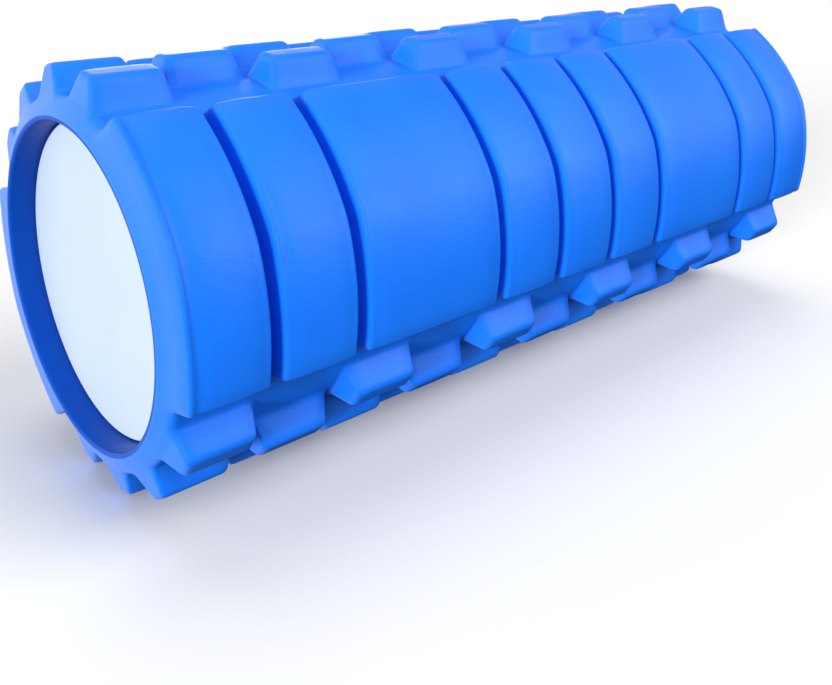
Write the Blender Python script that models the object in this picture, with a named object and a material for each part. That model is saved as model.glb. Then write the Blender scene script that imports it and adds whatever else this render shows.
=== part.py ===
"""Textured massage roller, modelled as the pieces it comes apart into.

A moulded foam sleeve is pushed over a rigid hollow core. A plug-in cap closes each end of the core,
set back inside the soft lip of the sleeve. The roller lies along X, on the flat crests of its lowest
row of foam blocks, with the origin under its middle.

The sleeve repeats after half a turn. Each half turn has one broad panel, cut into bands by grooves
round the roller, and seven staggered rows of raised blocks.
"""
import math

import bpy
import bmesh

# Overall size, metres
LENGTH = 0.330              # end to end
CREST_RADIUS = 0.0673       # axis to the long edges of a block's crest
VALLEY_RADIUS = 0.0585      # axis to the floor between the blocks
BORE_RADIUS = 0.0507        # inside of the sleeve
CLEARANCE = 0.0003          # left between pieces that touch

# Division along the roller: eleven equal cells
CELLS = 11
CELL = LENGTH / CELLS
VALLEY_HALF = 0.0015        # half the floor of a valley between two cells
CREST_INSET = 0.0037        # cell boundary to the crest's edge
JOINED_BOUNDARIES = (3, 8)  # cell boundaries that the broad panels run across

# The sleeve's ends, measured in from the end face
RING_RADIUS = 0.0530        # outside of the flat ring at the end face
END_VALLEY_INSET = 0.0022   # where the sloping end reaches the valley floor
END_CREST_INSET = 0.0055    # where it reaches the crests

# Division round the roller, degrees from the middle of a broad panel
PANEL_HALF = 37.5           # to the long edge of the broad panel
PANEL_FOOT = 41.3           # to the foot of its side wall
PANEL_FACETS = 8
PANEL_RADIUS = 0.0663       # axis to the panel's skin
RIDGE_HEIGHT = 0.0010       # low ridge along the middle of the panel
ROWS = 7
FIRST_ROW = 56.5            # to the middle of the first row of blocks
ROW_STEP = (180.0 - 2.0 * FIRST_ROW) / (ROWS - 1)
CREST_HALF = 3.3            # half the width of a block's crest
FOOT_HALF = ROW_STEP - CREST_HALF
LOWEST_ROW = 5              # the row that lies on the floor, counted downwards
PANEL_TILT = FIRST_ROW + LOWEST_ROW * ROW_STEP - 90.0

# Axis above the floor: the crests are flat facets
AXIS_HEIGHT = CREST_RADIUS * math.cos(math.radians(CREST_HALF))

# Core and caps
CORE_RADIUS = 0.0503
CORE_WALL = 0.0035
CAP_RECESS = 0.0085         # end face of the sleeve to the cap's face
CAP_THICKNESS = 0.0025
SKIRT_WALL = 0.0025
SKIRT_LENGTH = 0.012
CAP_EDGE = 0.0006           # small bevel round the cap's rim
ROUND_SEGMENTS = 96

FOAM_BLUE = (0.044, 0.254, 0.95, 1.0)
CORE_GREY = (0.035, 0.037, 0.040, 1.0)
CAP_PALE = (0.71, 0.84, 0.96, 1.0)


def clear_scene():
    """Remove every object that the file starts with."""
    for item in list(bpy.data.objects):
        bpy.data.objects.remove(item, do_unlink=True)


def material(name, colour, roughness, metallic=0.0):
    """A Principled material of one colour."""
    made = bpy.data.materials.new(name)
    made.use_nodes = True
    shader = made.node_tree.nodes["Principled BSDF"]
    shader.inputs["Base Color"].default_value = colour
    shader.inputs["Roughness"].default_value = roughness
    shader.inputs["Metallic"].default_value = metallic
    return made


def add_object(name, shape, surface, parent, sharp_angle=30.0):
    """Turn a bmesh into a named object under the roller's axis."""
    bmesh.ops.recalc_face_normals(shape, faces=shape.faces)
    mesh = bpy.data.meshes.new(name)
    shape.to_mesh(mesh)
    shape.free()
    mesh.materials.append(surface)
    mesh.shade_smooth()
    mesh.set_sharp_from_angle(angle=math.radians(sharp_angle))
    made = bpy.data.objects.new(name, mesh)
    bpy.context.scene.collection.objects.link(made)
    made.parent = parent
    return made


def round_stations():
    """Angles round half a turn, each with what stands there.

    The second value is "floor", "panel" or the number of the row whose crest edge lies there. A row's
    foot falls on its neighbour's crest edge, since the neighbours are a cell further along.
    """
    stations = [(-PANEL_FOOT, "floor")]
    for step in range(PANEL_FACETS + 1):
        stations.append((PANEL_HALF * (2.0 * step / PANEL_FACETS - 1.0), "panel"))
    stations.append((PANEL_FOOT, "floor"))
    stations.append((FIRST_ROW - FOOT_HALF, "floor"))
    for row in range(ROWS):
        middle = FIRST_ROW + row * ROW_STEP
        stations.append((middle - CREST_HALF, row))
        stations.append((middle + CREST_HALF, row))
    stations.append((FIRST_ROW + (ROWS - 1) * ROW_STEP + FOOT_HALF, "floor"))
    return stations


def long_stations():
    """Places along the sleeve, each with its kind and its cell or cell boundary."""
    stations = [(0.0, "ring", 0), (END_VALLEY_INSET, "valley", 0), (END_CREST_INSET, "crest", 0)]
    for boundary in range(1, CELLS):
        place = boundary * CELL
        stations.append((place - CREST_INSET, "crest", boundary - 1))
        stations.append((place - VALLEY_HALF, "valley", boundary))
        stations.append((place + VALLEY_HALF, "valley", boundary))
        stations.append((place + CREST_INSET, "crest", boundary))
    stations.append((LENGTH - END_CREST_INSET, "crest", CELLS - 1))
    stations.append((LENGTH - END_VALLEY_INSET, "valley", CELLS))
    stations.append((LENGTH, "ring", CELLS))
    return stations


def panel_radius(angle):
    """Radius of a broad panel's skin: nearly round, with a low ridge along its middle."""
    return PANEL_RADIUS + RIDGE_HEIGHT * math.exp(-(angle / 7.0) ** 2)


def sleeve_radius(along, angle, what):
    """Outer radius of the sleeve where a long station meets a round station."""
    kind, number = along
    if kind == "ring":
        return RING_RADIUS
    if what == "panel" and (kind == "crest" or number in JOINED_BOUNDARIES):
        return panel_radius(angle)
    if kind == "crest" and isinstance(what, int) and what % 2 == number % 2:
        return CREST_RADIUS
    return VALLEY_RADIUS


def on_axis(x, radius, angle):
    """A point at a radius and an angle up from the front, with the broad panel tilted up."""
    turn = math.radians(angle + PANEL_TILT)
    return (x - LENGTH / 2.0, -radius * math.cos(turn), radius * math.sin(turn))


def split_corner(heights):
    """Which corner of a four-sided patch its diagonal starts from: the one unlike the other three."""
    middle = (max(heights) + min(heights)) / 2.0
    high = [height > middle for height in heights]
    if sum(high) == 1:
        return high.index(True)
    if sum(high) == 3:
        return high.index(False)
    return 0


def foam_sleeve(parent, surface):
    """The moulded foam sleeve, with its bore left open from end to end."""
    shape = bmesh.new()
    along = long_stations()
    around = [(angle + turn, angle, what) for turn in (0.0, 180.0) for angle, what in round_stations()]
    columns = []
    for place, angle, what in around:
        radii = [sleeve_radius(station[1:], angle, what) for station in along]
        outer = [shape.verts.new(on_axis(station[0], radius, place))
                 for station, radius in zip(along, radii)]
        bore = [shape.verts.new(on_axis(x, BORE_RADIUS, place)) for x in (LENGTH, 0.0)]
        columns.append((outer, radii, bore))
    for index, (outer, radii, bore) in enumerate(columns):
        next_outer, next_radii, next_bore = columns[(index + 1) % len(columns)]
        for i in range(len(along) - 1):
            patch = [outer[i], outer[i + 1], next_outer[i + 1], next_outer[i]]
            first = split_corner([radii[i], radii[i + 1], next_radii[i + 1], next_radii[i]])
            patch = patch[first:] + patch[:first]
            shape.faces.new(patch[:3])
            shape.faces.new((patch[0], patch[2], patch[3]))
        shape.faces.new((outer[-1], bore[0], next_bore[0], next_outer[-1]))
        shape.faces.new((bore[0], bore[1], next_bore[1], next_bore[0]))
        shape.faces.new((bore[1], outer[0], next_outer[0], next_bore[1]))
    return add_object("foam_sleeve", shape, surface, parent, sharp_angle=20.0)


def turned(outline):
    """Turn a closed outline of (x, radius) points about the X axis; a point on the axis stays one point."""
    shape = bmesh.new()
    rings = []
    for x, radius in outline:
        if radius == 0.0:
            rings.append([shape.verts.new((x, 0.0, 0.0))] * ROUND_SEGMENTS)
            continue
        angles = [2.0 * math.pi * step / ROUND_SEGMENTS for step in range(ROUND_SEGMENTS)]
        rings.append([shape.verts.new((x, radius * math.cos(a), radius * math.sin(a))) for a in angles])
    for ring, next_ring in zip(rings, rings[1:] + rings[:1]):
        for step in range(ROUND_SEGMENTS):
            after = (step + 1) % ROUND_SEGMENTS
            corners = [ring[step], ring[after], next_ring[after], next_ring[step]]
            corners = list(dict.fromkeys(corners))
            if len(corners) > 2:
                shape.faces.new(corners)
    return shape


def core_tube(parent, surface):
    """The rigid tube that carries the load, between the two caps' flanges."""
    half = LENGTH / 2.0 - CAP_RECESS - CAP_THICKNESS - CLEARANCE
    inner = CORE_RADIUS - CORE_WALL
    shape = turned([(-half, inner), (-half, CORE_RADIUS), (half, CORE_RADIUS), (half, inner)])
    return add_object("core_tube", shape, surface, parent)


def end_cap(name, parent, surface):
    """A flat disc that covers the tube's end, with a skirt that plugs into it. It faces -X."""
    rim = CORE_RADIUS
    skirt = CORE_RADIUS - CORE_WALL - CLEARANCE
    inside = skirt - SKIRT_WALL
    outline = [
        (0.0, 0.0), (0.0, rim - CAP_EDGE), (CAP_EDGE, rim), (CAP_THICKNESS, rim),
        (CAP_THICKNESS, skirt), (CAP_THICKNESS + SKIRT_LENGTH, skirt),
        (CAP_THICKNESS + SKIRT_LENGTH, inside), (CAP_THICKNESS, inside), (CAP_THICKNESS, 0.0),
    ]
    return add_object(name, turned(outline), surface, parent)


def build():
    """Make the four pieces on the roller's axis."""
    clear_scene()
    axis = bpy.data.objects.new("roller_axis", None)
    bpy.context.scene.collection.objects.link(axis)
    axis.location = (0.0, 0.0, AXIS_HEIGHT)

    foam_sleeve(axis, material("eva_foam", FOAM_BLUE, 0.6))
    core_tube(axis, material("core_plastic", CORE_GREY, 0.5))
    cap_plastic = material("cap_plastic", CAP_PALE, 0.55)
    for name, side in (("end_cap_left", -1.0), ("end_cap_right", 1.0)):
        cap = end_cap(name, axis, cap_plastic)
        cap.location.x = side * (LENGTH / 2.0 - CAP_RECESS)
        if side > 0.0:
            cap.rotation_euler.z = math.pi


build()
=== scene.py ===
import math

import bpy
import numpy as np
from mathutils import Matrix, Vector


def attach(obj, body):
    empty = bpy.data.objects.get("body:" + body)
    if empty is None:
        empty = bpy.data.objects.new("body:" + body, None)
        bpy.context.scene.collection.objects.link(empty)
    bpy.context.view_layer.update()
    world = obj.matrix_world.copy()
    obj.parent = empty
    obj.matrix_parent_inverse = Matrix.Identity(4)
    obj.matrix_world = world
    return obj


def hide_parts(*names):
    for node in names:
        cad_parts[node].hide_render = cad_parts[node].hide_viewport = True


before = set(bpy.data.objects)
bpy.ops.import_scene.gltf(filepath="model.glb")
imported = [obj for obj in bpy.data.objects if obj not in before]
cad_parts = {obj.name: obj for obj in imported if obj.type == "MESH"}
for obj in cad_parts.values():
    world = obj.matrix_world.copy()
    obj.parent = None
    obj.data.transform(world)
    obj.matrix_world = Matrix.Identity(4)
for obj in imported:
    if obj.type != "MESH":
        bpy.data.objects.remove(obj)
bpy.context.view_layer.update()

# The roller in millimetres, measured from its left end along X and from its axis. Angles are in
# degrees, counted from the middle of a broad panel.
MM = 0.001
HALF_TURN = 180.0
QUARTER_TURN = 90.0
LENGTH = 330.0
CELLS = 11
CELL = LENGTH / CELLS
BORE_RADIUS = 50.7
CAP_RECESS = 8.6
RING_RADIUS = 52.3
VALLEY_RADIUS = 58.5
END_VALLEY = 2.7
# The soft lip of the bore: how far in from the end, and the radius there.
LIP = [(0.0, 51.75), (0.12, 51.25), (0.4, 50.9), (0.9, 50.72), (CAP_RECESS, BORE_RADIUS)]

# The two broad panels, each cut by the same grooves.
PANEL_RADIUS = 66.9
PANEL_HALF = 37.5
PANEL_FOOT = 41.6
PANEL_DIP = 0.9
RIDGE_BLUR = 1.4
END_PANEL = 2.3
END_PANEL_FOOT = 1.7
GROOVES = [CELL * number for number in (1, 2, 4, 5, 6, 7, 9, 10)]
GROOVE_HALF = 2.7
GROOVE_FLOOR_HALF = 1.0

# The rows of blocks between the panels.
ROWS = 7
LOWEST_ROW = 5
FIRST_ROW = 56.5
ROW_STEP = (HALF_TURN - 2.0 * FIRST_ROW) / (ROWS - 1)
CREST_RADIUS = 67.3
CREST_HALF = 3.3
BLOCK_FOOT_HALF = 8.0
BLOCK_END = 3.7
BLOCK_END_FOOT = 1.5
END_BLOCK = 4.5

# The crests of a row lie flat, so the lowest row's crests set how high the axis is.
FLAT_RADIUS = CREST_RADIUS * math.cos(math.radians(CREST_HALF))
PANEL_TILT = FIRST_ROW + LOWEST_ROW * ROW_STEP - QUARTER_TURN

# How round the edges are, and the fillets where a panel or a block rises from the valleys.
SLOPE_ROUND = 1.5
PANEL_SIDE_ROUND = 1.4
GROOVE_ROUND = 2.0
PANEL_END_ROUND = 1.5
BLOCK_END_ROUND = 1.4
CREST_ROUND = 1.6
PANEL_FILLET = 1.2
BLOCK_FILLET = 1.0

# The soft crease beside an edge: its depth, how far in it runs, and how far it reaches to either
# side, all at size 1. The sizes are those beside the grooves, at the panels' ends and on the blocks.
CREASE_DEPTH = 0.42
CREASE_INSET = 1.2
CREASE_REACH = (0.8, 1.6)
GROOVE_CREASE = 1.4
END_CREASE = 2.2
BLOCK_CREASE = 0.9

# The mesh's lines along the roller lie at these angles from an edge or the middle of a row, and its
# rings at these distances from an end or the middle of a cell boundary.
PLAIN_ANGLE = 3.0
PANEL_EDGE_ANGLES = (-0.9, -0.5, -0.15, 0.15, 0.5, 1.0, 1.8, 2.6, 3.4, 4.0, 4.5, 5.2, 6.2)
ROW_EDGE_ANGLES = (-2.2, -1.2, -0.5, 0.0, 0.5)
BLOCK_ANGLES = (0.0, 1.3, 2.0, 2.5, 2.9, 3.3, 3.8, 4.6, ROW_STEP / 2.0)
LEAST_ANGLE = 0.2
END_PLACES = (0.0, 0.35, 0.8, 1.3, 1.8, 2.3, 2.6, 2.9, 3.2, 3.5, 3.8, 4.1, 4.5, 5.0, 5.4, 5.8, 6.2,
              6.8, 8.0)
BOUNDARY_PLACES = [step * 0.33 for step in range(-15, 16)] + [-6.2, 6.2]
CELL_PLACES = (9.0, 15.0, 21.0)
HALVINGS = 18


# ---------------------------------------------------------------- the foam's shape

def line_distance(x, y, start, end):
    """Distance of (x, y) from the line through start and end, positive on its left side."""
    run, rise = end[0] - start[0], end[1] - start[1]
    return (run * (y - start[1]) - rise * (x - start[0])) / math.hypot(run, rise)


def cut(a, b, radius):
    """The part of solid a that is inside solid b too, its edge rounded. Distances are positive
    outside."""
    over = np.sqrt(np.maximum(a + radius, 0.0) ** 2 + np.maximum(b + radius, 0.0) ** 2) - radius
    return np.where((a > -radius) & (b > -radius), over, np.maximum(a, b))


def join(a, b, radius):
    """Solids a and b together, with a fillet where they meet."""
    return -cut(-a, -b, radius)


def crease(inset, size):
    """Depth of the soft crease that sets off a bead along an edge, at a distance inset from it."""
    beyond = inset / size - CREASE_INSET
    reach = np.where(beyond < 0.0, *CREASE_REACH)
    return size * CREASE_DEPTH * np.exp(-(beyond / reach) ** 2)


def panel_distance(x, end, angle, radius):
    """Distance from a broad panel, which is slightly hollow on both sides of its middle."""
    across = np.abs(angle)
    turn = np.radians(across)
    top, foot = math.radians(PANEL_HALF), math.radians(PANEL_FOOT)
    side = line_distance(radius * np.cos(turn), radius * np.sin(turn),
                         (VALLEY_RADIUS * math.cos(foot), VALLEY_RADIUS * math.sin(foot)),
                         (PANEL_RADIUS * math.cos(top), PANEL_RADIUS * math.sin(top)))
    off = np.min([np.abs(x - groove) for groove in GROOVES], axis=0)
    wall = line_distance(off, radius, (GROOVE_FLOOR_HALF, VALLEY_RADIUS),
                         (GROOVE_HALF, PANEL_RADIUS))
    tip = line_distance(end, radius, (END_PANEL_FOOT, VALLEY_RADIUS), (END_PANEL, PANEL_RADIUS))
    share = np.sqrt(across ** 2 + RIDGE_BLUR ** 2) / PANEL_HALF
    skin = PANEL_RADIUS - 4.0 * PANEL_DIP * share * (1.0 - share)
    skin = skin - np.maximum(crease(-wall, GROOVE_CREASE), crease(-tip, END_CREASE))
    solid = cut(radius - skin, side, PANEL_SIDE_ROUND)
    solid = cut(solid, wall, GROOVE_ROUND)
    return cut(solid, tip, PANEL_END_ROUND)


def row_distance(x, end, angle, radius, row):
    """Distance from one row of blocks. Every second row is shifted by one cell."""
    turn = np.minimum(np.radians(np.abs(angle - FIRST_ROW - row * ROW_STEP)), math.pi / 2.0)
    up, aside = radius * np.cos(turn), radius * np.sin(turn)
    high, low = math.radians(CREST_HALF), math.radians(BLOCK_FOOT_HALF)
    side = line_distance(aside, up, (CREST_RADIUS * math.sin(high), CREST_RADIUS * math.cos(high)),
                         (VALLEY_RADIUS * math.sin(low), VALLEY_RADIUS * math.cos(low)))
    middle = CELL * (0.5 + row % 2)
    along = np.abs((x - middle + CELL) % (2.0 * CELL) - CELL)
    wall = line_distance(along, radius, (CELL / 2.0 - BLOCK_END, CREST_RADIUS),
                         (CELL / 2.0 - BLOCK_END_FOOT, VALLEY_RADIUS))
    tip = line_distance(end, radius, (END_VALLEY, VALLEY_RADIUS), (END_BLOCK, CREST_RADIUS))
    side = side + np.maximum(crease(-wall, BLOCK_CREASE), crease(-tip, BLOCK_CREASE))
    solid = cut(side, wall, BLOCK_END_ROUND)
    solid = cut(solid, tip, BLOCK_END_ROUND)
    return cut(solid, up - FLAT_RADIUS, CREST_ROUND)


def sleeve_distance(x, angle, radius):
    """Distance from the outside of the sleeve, for angles from -90 to 90. Half a turn on it
    repeats."""
    end = np.minimum(x, LENGTH - x)
    slope = line_distance(end, radius, (0.0, RING_RADIUS), (END_VALLEY, VALLEY_RADIUS))
    solid = cut(radius - VALLEY_RADIUS, slope, SLOPE_ROUND)
    solid = join(solid, panel_distance(x, end, angle, radius), PANEL_FILLET)
    for row in range(ROWS):
        for turned in (0.0, HALF_TURN):
            solid = join(solid, row_distance(x, end, angle + turned, radius, row), BLOCK_FILLET)
    return solid


def sleeve_radius(x, angle):
    """Radius of the sleeve's surface, found by halving."""
    low = np.full(x.shape, BORE_RADIUS)
    high = np.full(x.shape, CREST_RADIUS + 1.0)
    for _ in range(HALVINGS):
        middle = (low + high) / 2.0
        inside = sleeve_distance(x, angle, middle) < 0.0
        low = np.where(inside, middle, low)
        high = np.where(inside, high, middle)
    return (low + high) / 2.0


def around_lines():
    """Angles over half a turn at which the sleeve has a line of points, closer at its edges."""
    lines = [i * PLAIN_ANGLE for i in range(int(PANEL_HALF / PLAIN_ANGLE))]
    lines += [PANEL_HALF + step for step in PANEL_EDGE_ANGLES]
    lines += [FIRST_ROW - BLOCK_FOOT_HALF + step for step in ROW_EDGE_ANGLES]
    for row in range((ROWS + 1) // 2):
        middle = FIRST_ROW + row * ROW_STEP
        for step in BLOCK_ANGLES:
            lines += [middle - step, middle + step]
    lines = sorted({round(line, 4) for line in lines if line <= QUARTER_TURN})
    kept = [lines[0]]
    for line in lines[1:]:
        if line - kept[-1] > LEAST_ANGLE:
            kept.append(line)
    kept[-1] = QUARTER_TURN
    return np.array([-line for line in kept[:0:-1]] + kept[:-1])


def long_lines():
    """Places along the sleeve at which it has a ring of points, closer at its edges."""
    half = list(END_PLACES)
    for number in range(CELLS // 2 + 1):
        start = number * CELL
        if number:
            half += [start + step for step in BOUNDARY_PLACES]
        half += [start + step for step in CELL_PLACES]
    half = sorted({round(place, 4) for place in half if place <= LENGTH / 2.0})
    return np.array(half + [LENGTH - place for place in half[-2::-1]])


def on_sleeve(x, radius, angle):
    """A point of the sleeve in the frame's metres."""
    turn = np.radians(angle + PANEL_TILT)
    x, radius, turn = np.broadcast_arrays(x, radius, turn)
    return np.stack([(x - LENGTH / 2.0) * MM,
                     -radius * MM * np.cos(turn),
                     (FLAT_RADIUS + radius * np.sin(turn)) * MM], axis=-1)


def foam_mesh():
    """The whole sleeve as one closed mesh of outside, lips and bore, and which of its faces are in
    the bore."""
    along, across = long_lines(), around_lines()
    x, angle = np.meshgrid(along, across)
    radius = sleeve_radius(x, angle)
    outside = np.concatenate([on_sleeve(x, radius, angle), on_sleeve(x, radius, angle + HALF_TURN)])
    far_half = [(LENGTH - place, size) for place, size in LIP]
    bore = np.array(far_half + [(LENGTH / 2.0, BORE_RADIUS)] + LIP[::-1])
    turns = np.concatenate([across, across + HALF_TURN])
    inside = on_sleeve(bore[:, 0], bore[:, 1], turns[:, None])
    points = np.concatenate([outside, inside], axis=1)
    rows, columns = points.shape[:2]
    here = np.arange(rows * columns).reshape(rows, columns)
    beside = np.roll(here, -1, axis=1)
    faces = np.stack([here, beside, np.roll(beside, -1, axis=0), np.roll(here, -1, axis=0)],
                     axis=-1)
    mesh = bpy.data.meshes.new("foam_skin")
    mesh.from_pydata(points.reshape(-1, 3).tolist(), [], faces.reshape(-1, 4).tolist())
    mesh.shade_smooth()
    return mesh, [column > len(along) for _ in range(rows) for column in range(columns)]


# ---------------------------------------------------------------- materials

class Nodes:
    """Short names for building a tree of shader nodes."""

    def __init__(self, tree):
        self.tree = tree

    def put(self, socket, value):
        if isinstance(value, bpy.types.NodeSocket):
            self.tree.links.new(value, socket)
        else:
            socket.default_value = value

    def add(self, kind, inputs=None, **settings):
        node = self.tree.nodes.new(kind)
        for key, value in settings.items():
            setattr(node, key, value)
        for key, value in (inputs or {}).items():
            self.put(node.inputs[key], value)
        return node

    def spread(self, value, low, high, to_low=0.0, to_high=1.0):
        node = self.add("ShaderNodeMapRange", {"Value": value, "From Min": low, "From Max": high,
                                               "To Min": to_low, "To Max": to_high})
        return node.outputs["Result"]

    def mix(self, share, a, b, blend="MIX"):
        node = self.add("ShaderNodeMix", data_type="RGBA", blend_type=blend)
        for key, value in (("Factor", share), ("A", a), ("B", b)):
            self.put(node.inputs[key], value)
        return node.outputs["Result"]

    def maths(self, operation, a, b):
        return self.add("ShaderNodeMath", {0: a, 1: b}, operation=operation).outputs["Value"]


class Finish(Nodes):
    """A new material, with its textures placed in metres on the object."""

    def __init__(self, name):
        self.material = bpy.data.materials.new(name)
        self.material.use_nodes = True
        super().__init__(self.material.node_tree)
        self.place = self.add("ShaderNodeTexCoord").outputs["Object"]

    def noise(self, scale, detail, where=None):
        return self.add("ShaderNodeTexNoise", {"Vector": where or self.place, "Scale": scale,
                                               "Detail": detail}).outputs["Fac"]

    def clouds(self, scale, detail, low=0.0, high=1.0, where=None):
        """Soft clouds between two values."""
        return self.spread(self.noise(scale, detail, where), 0.3, 0.7, low, high)

    def bump(self, height, distance, strength, under=None):
        inputs = {"Height": height, "Distance": distance, "Strength": strength}
        if under is not None:
            inputs["Normal"] = under
        return self.add("ShaderNodeBump", inputs).outputs["Normal"]

    def done(self, colour, roughness, specular, normal=None):
        shader = self.tree.nodes["Principled BSDF"]
        self.put(shader.inputs["Base Color"], colour)
        self.put(shader.inputs["Roughness"], roughness)
        self.put(shader.inputs["Specular IOR Level"], specular)
        if normal is not None:
            self.put(shader.inputs["Normal"], normal)
        return self.material


def foam_material(name, painted_shade, specular):
    """Closed-cell EVA: a fine pebbled satin skin with faint clouds in its blue. The second value
    paints
    shade: it darkens the whole blue towards navy, for the bore, which lies in shade."""
    n = Finish(name)
    tone = n.mix(n.clouds(38.0, 3.0), (0.006, 0.155, 0.82, 1.0), (0.008, 0.172, 0.86, 1.0))
    flecks = n.spread(n.noise(2400.0, 2.0), 0.35, 0.7, 0.0, 0.10)
    tone = n.mix(flecks, tone, (0.003, 0.10, 0.62, 1.0))
    # Painted shade: the blue is pulled towards deep navy by the second value, for the shaded bore.
    tone = n.mix(painted_shade, tone, (0.001, 0.03, 0.28, 1.0))
    cells = n.add("ShaderNodeTexVoronoi", {"Vector": n.place, "Scale": 1500.0}).outputs["Distance"]
    fine = n.bump(n.spread(cells, 0.0, 0.7), 0.00010, 0.35)
    skin = n.bump(n.noise(420.0, 3.0), 0.00015, 0.30, fine)
    return n.done(tone, n.clouds(90.0, 2.0, 0.30, 0.38), specular, skin)


def cap_material():
    """Pale moulded plastic with a fine matt grain."""
    n = Finish("cap_plastic_matt")
    tone = n.mix(n.clouds(30.0, 2.0), (0.435, 0.525, 0.652, 1.0), (0.465, 0.555, 0.682, 1.0))
    grain = n.bump(n.noise(1800.0, 2.0), 0.00005, 0.25)
    return n.done(tone, n.clouds(120.0, 2.0, 0.50, 0.60), 0.3, grain)


def core_material():
    """Black moulded plastic with flow streaks along the tube."""
    n = Finish("core_plastic_black")
    stretch = n.add("ShaderNodeMapping", {"Vector": n.place, "Scale": (4.0, 120.0, 120.0)})
    streaks = n.clouds(3.0, 3.0, where=stretch.outputs["Vector"])
    tone = n.mix(streaks, (0.020, 0.021, 0.023, 1.0), (0.032, 0.033, 0.036, 1.0))
    grain = n.bump(n.noise(900.0, 2.0), 0.00008, 0.3)
    return n.done(tone, n.spread(streaks, 0.0, 1.0, 0.42, 0.55), 0.5, grain)


def floor_material():
    """Plain pale matt paper."""
    n = Finish("pale_floor")
    tone = n.mix(n.noise(1.5, 2.0), (0.84, 0.842, 0.84, 1.0), (0.855, 0.856, 0.853, 1.0))
    return n.done(tone, 0.6, 0.2)


# ---------------------------------------------------------------- the pieces

def dress(item, *materials):
    """Give an object its materials."""
    item.data.materials.clear()
    for material in materials:
        item.data.materials.append(material)


foam_shape, in_bore = foam_mesh()
foam = bpy.data.objects.new("foam_skin", foam_shape)
bpy.context.scene.collection.objects.link(foam)
# The bore gets the same foam with painted shade, darkened all over because the bore lies in shade,
# and with less gloss.
dress(foam, foam_material("eva_foam_skin", 0.0, 0.5), foam_material("eva_foam_bore_painted_shade", 0.75, 0.1))
foam_shape.polygons.foreach_set("material_index", in_bore)
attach(foam, "root")
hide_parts("foam_sleeve")

cap_finish = cap_material()
for name in ("end_cap_left", "end_cap_right"):
    dress(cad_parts[name], cap_finish)
dress(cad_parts["core_tube"], core_material())


# ---------------------------------------------------------------- floor, light and camera

FLOOR_SIDES = 96
FLOOR_REACH = 14.0


def make_floor():
    """A plain pale floor, round, and wide enough to fill the view. It throws no light back."""
    turns = [2.0 * math.pi * i / FLOOR_SIDES for i in range(FLOOR_SIDES)]
    corners = [(FLOOR_REACH * math.cos(turn), FLOOR_REACH * math.sin(turn), 0.0) for turn in turns]
    mesh = bpy.data.meshes.new("floor")
    mesh.from_pydata(corners, [], [list(range(FLOOR_SIDES))])
    floor = bpy.data.objects.new("floor", mesh)
    bpy.context.scene.collection.objects.link(floor)
    dress(floor, floor_material())
    floor.visible_diffuse = False
    floor.visible_glossy = False


BACKDROP = (0.9, 0.9, 0.9, 1.0)
STUDIO_STRENGTH = 1.1


def ramp(n, value, *stops):
    """A curve of brightness through (place, level) stops."""
    node = n.add("ShaderNodeValToRGB", {"Fac": value})
    elements = node.color_ramp.elements
    while len(elements) < len(stops):
        elements.new(0.5)
    for element, (place, level) in zip(elements, stops):
        element.position = place
        element.color = (level, level, level, 1.0)
    return node.outputs["Color"]


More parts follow.
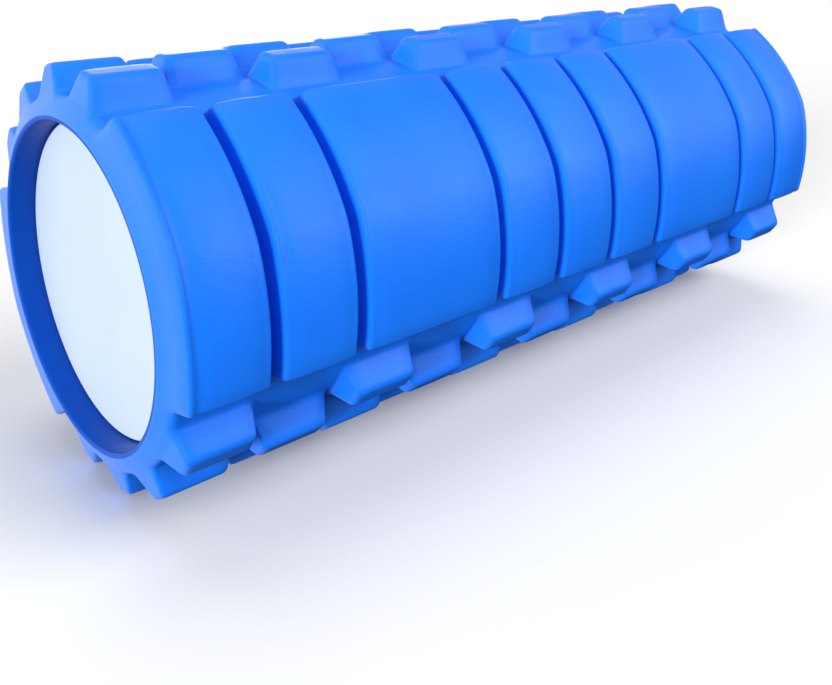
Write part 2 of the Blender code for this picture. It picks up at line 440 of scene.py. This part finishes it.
def make_world():
    """A white studio: a soft box on each side of the front, a darker gap between them, and pale
    walls behind. It lights the roller and shows in its gloss. The backdrop seen is plain white."""
    world = bpy.data.worlds.new("studio")
    bpy.context.scene.world = world
    world.use_nodes = True
    n = Nodes(world.node_tree)
    direction = n.add("ShaderNodeTexCoord").outputs["Generated"]
    x, y, z = n.add("ShaderNodeSeparateXYZ", {"Vector": direction}).outputs
    turn = n.maths("ARCTAN2", x, n.maths("MULTIPLY", y, -1.0))
    turn = n.spread(turn, -math.pi, math.pi)
    height = n.spread(z, -1.0, 1.0)
    boxes = ramp(n, turn, (0.0, 0.9), (0.24, 0.8), (0.30, 0.25), (0.335, 1.0), (0.415, 1.0),
                 (0.455, 0.2), (0.530, 0.2), (0.570, 1.0), (0.62, 0.9), (0.68, 0.5), (0.73, 0.25),
                 (0.84, 0.7), (1.0, 0.8))
    boxes_height = ramp(n, height, (0.0, 0.08), (0.46, 0.08), (0.51, 1.0), (0.74, 1.0),
                        (0.86, 0.4), (1.0, 0.3))
    left_wall = ramp(n, height, (0.0, 0.4), (0.40, 0.8), (0.50, 1.0), (0.60, 0.9), (0.75, 0.4),
                     (1.0, 0.25))
    right_wall = ramp(n, height, (0.0, 0.0), (0.33, 0.05), (0.38, 1.0), (0.55, 1.0), (0.62, 0.6),
                      (0.72, 0.25), (1.0, 0.25))
    front = n.mix(1.0, boxes, boxes_height, "MULTIPLY")
    behind = n.mix(n.spread(x, 0.15, 0.45), left_wall, right_wall)
    background = world.node_tree.nodes["Background"]
    studio = n.mix(n.spread(y, -0.10, 0.35), front, behind)
    seen = n.add("ShaderNodeLightPath").outputs["Is Camera Ray"]
    n.put(background.inputs["Color"], n.mix(seen, studio, BACKDROP))
    n.put(background.inputs["Strength"], STUDIO_STRENGTH)


def sun(name, towards, strength, spread, highlight=False):
    """A soft light that shines in one direction all over the scene, at a strength in watts per
    square metre and a spread in degrees. It gives either plain light or highlights."""
    data = bpy.data.lights.new(name, "SUN")
    data.energy = strength
    data.angle = math.radians(spread)
    item = bpy.data.objects.new(name, data)
    item.rotation_euler = Vector(towards).to_track_quat("-Z", "Y").to_euler()
    item.visible_glossy = highlight
    item.visible_diffuse = not highlight
    bpy.context.scene.collection.objects.link(item)


CAMERA_PLACE = (-0.26294, -0.26065, 0.17193)
CAMERA_DOWN = 16.415
CAMERA_TURN = -41.40
LENS = 40.35
SHIFT = (0.0157, -0.1722)


def make_camera():
    """A camera close to the left end, looking along the roller and a little down."""
    data = bpy.data.cameras.new("camera")
    data.sensor_width = 36.0
    data.lens = LENS
    data.shift_x, data.shift_y = SHIFT
    data.clip_start = 0.01
    data.clip_end = 60.0
    camera = bpy.data.objects.new("camera", data)
    camera.location = CAMERA_PLACE
    tilt = QUARTER_TURN - CAMERA_DOWN
    camera.rotation_euler = (math.radians(tilt), 0.0, math.radians(CAMERA_TURN))
    bpy.context.scene.collection.objects.link(camera)
    bpy.context.scene.camera = camera


make_floor()
make_world()
sun("key", (-0.62, 0.60, -0.51), 2.4, 45.0)
sun("side", (0.93, 0.30, -0.17), 3.85, 16.0)
sun("rim", (-0.15, -0.256, -0.955), 0.85, 40.0)
sun("edge", (-0.45, -0.86, -0.22), 0.55, 25.0, highlight=True)
make_camera()
bpy.context.scene.view_settings.view_transform = "Standard"
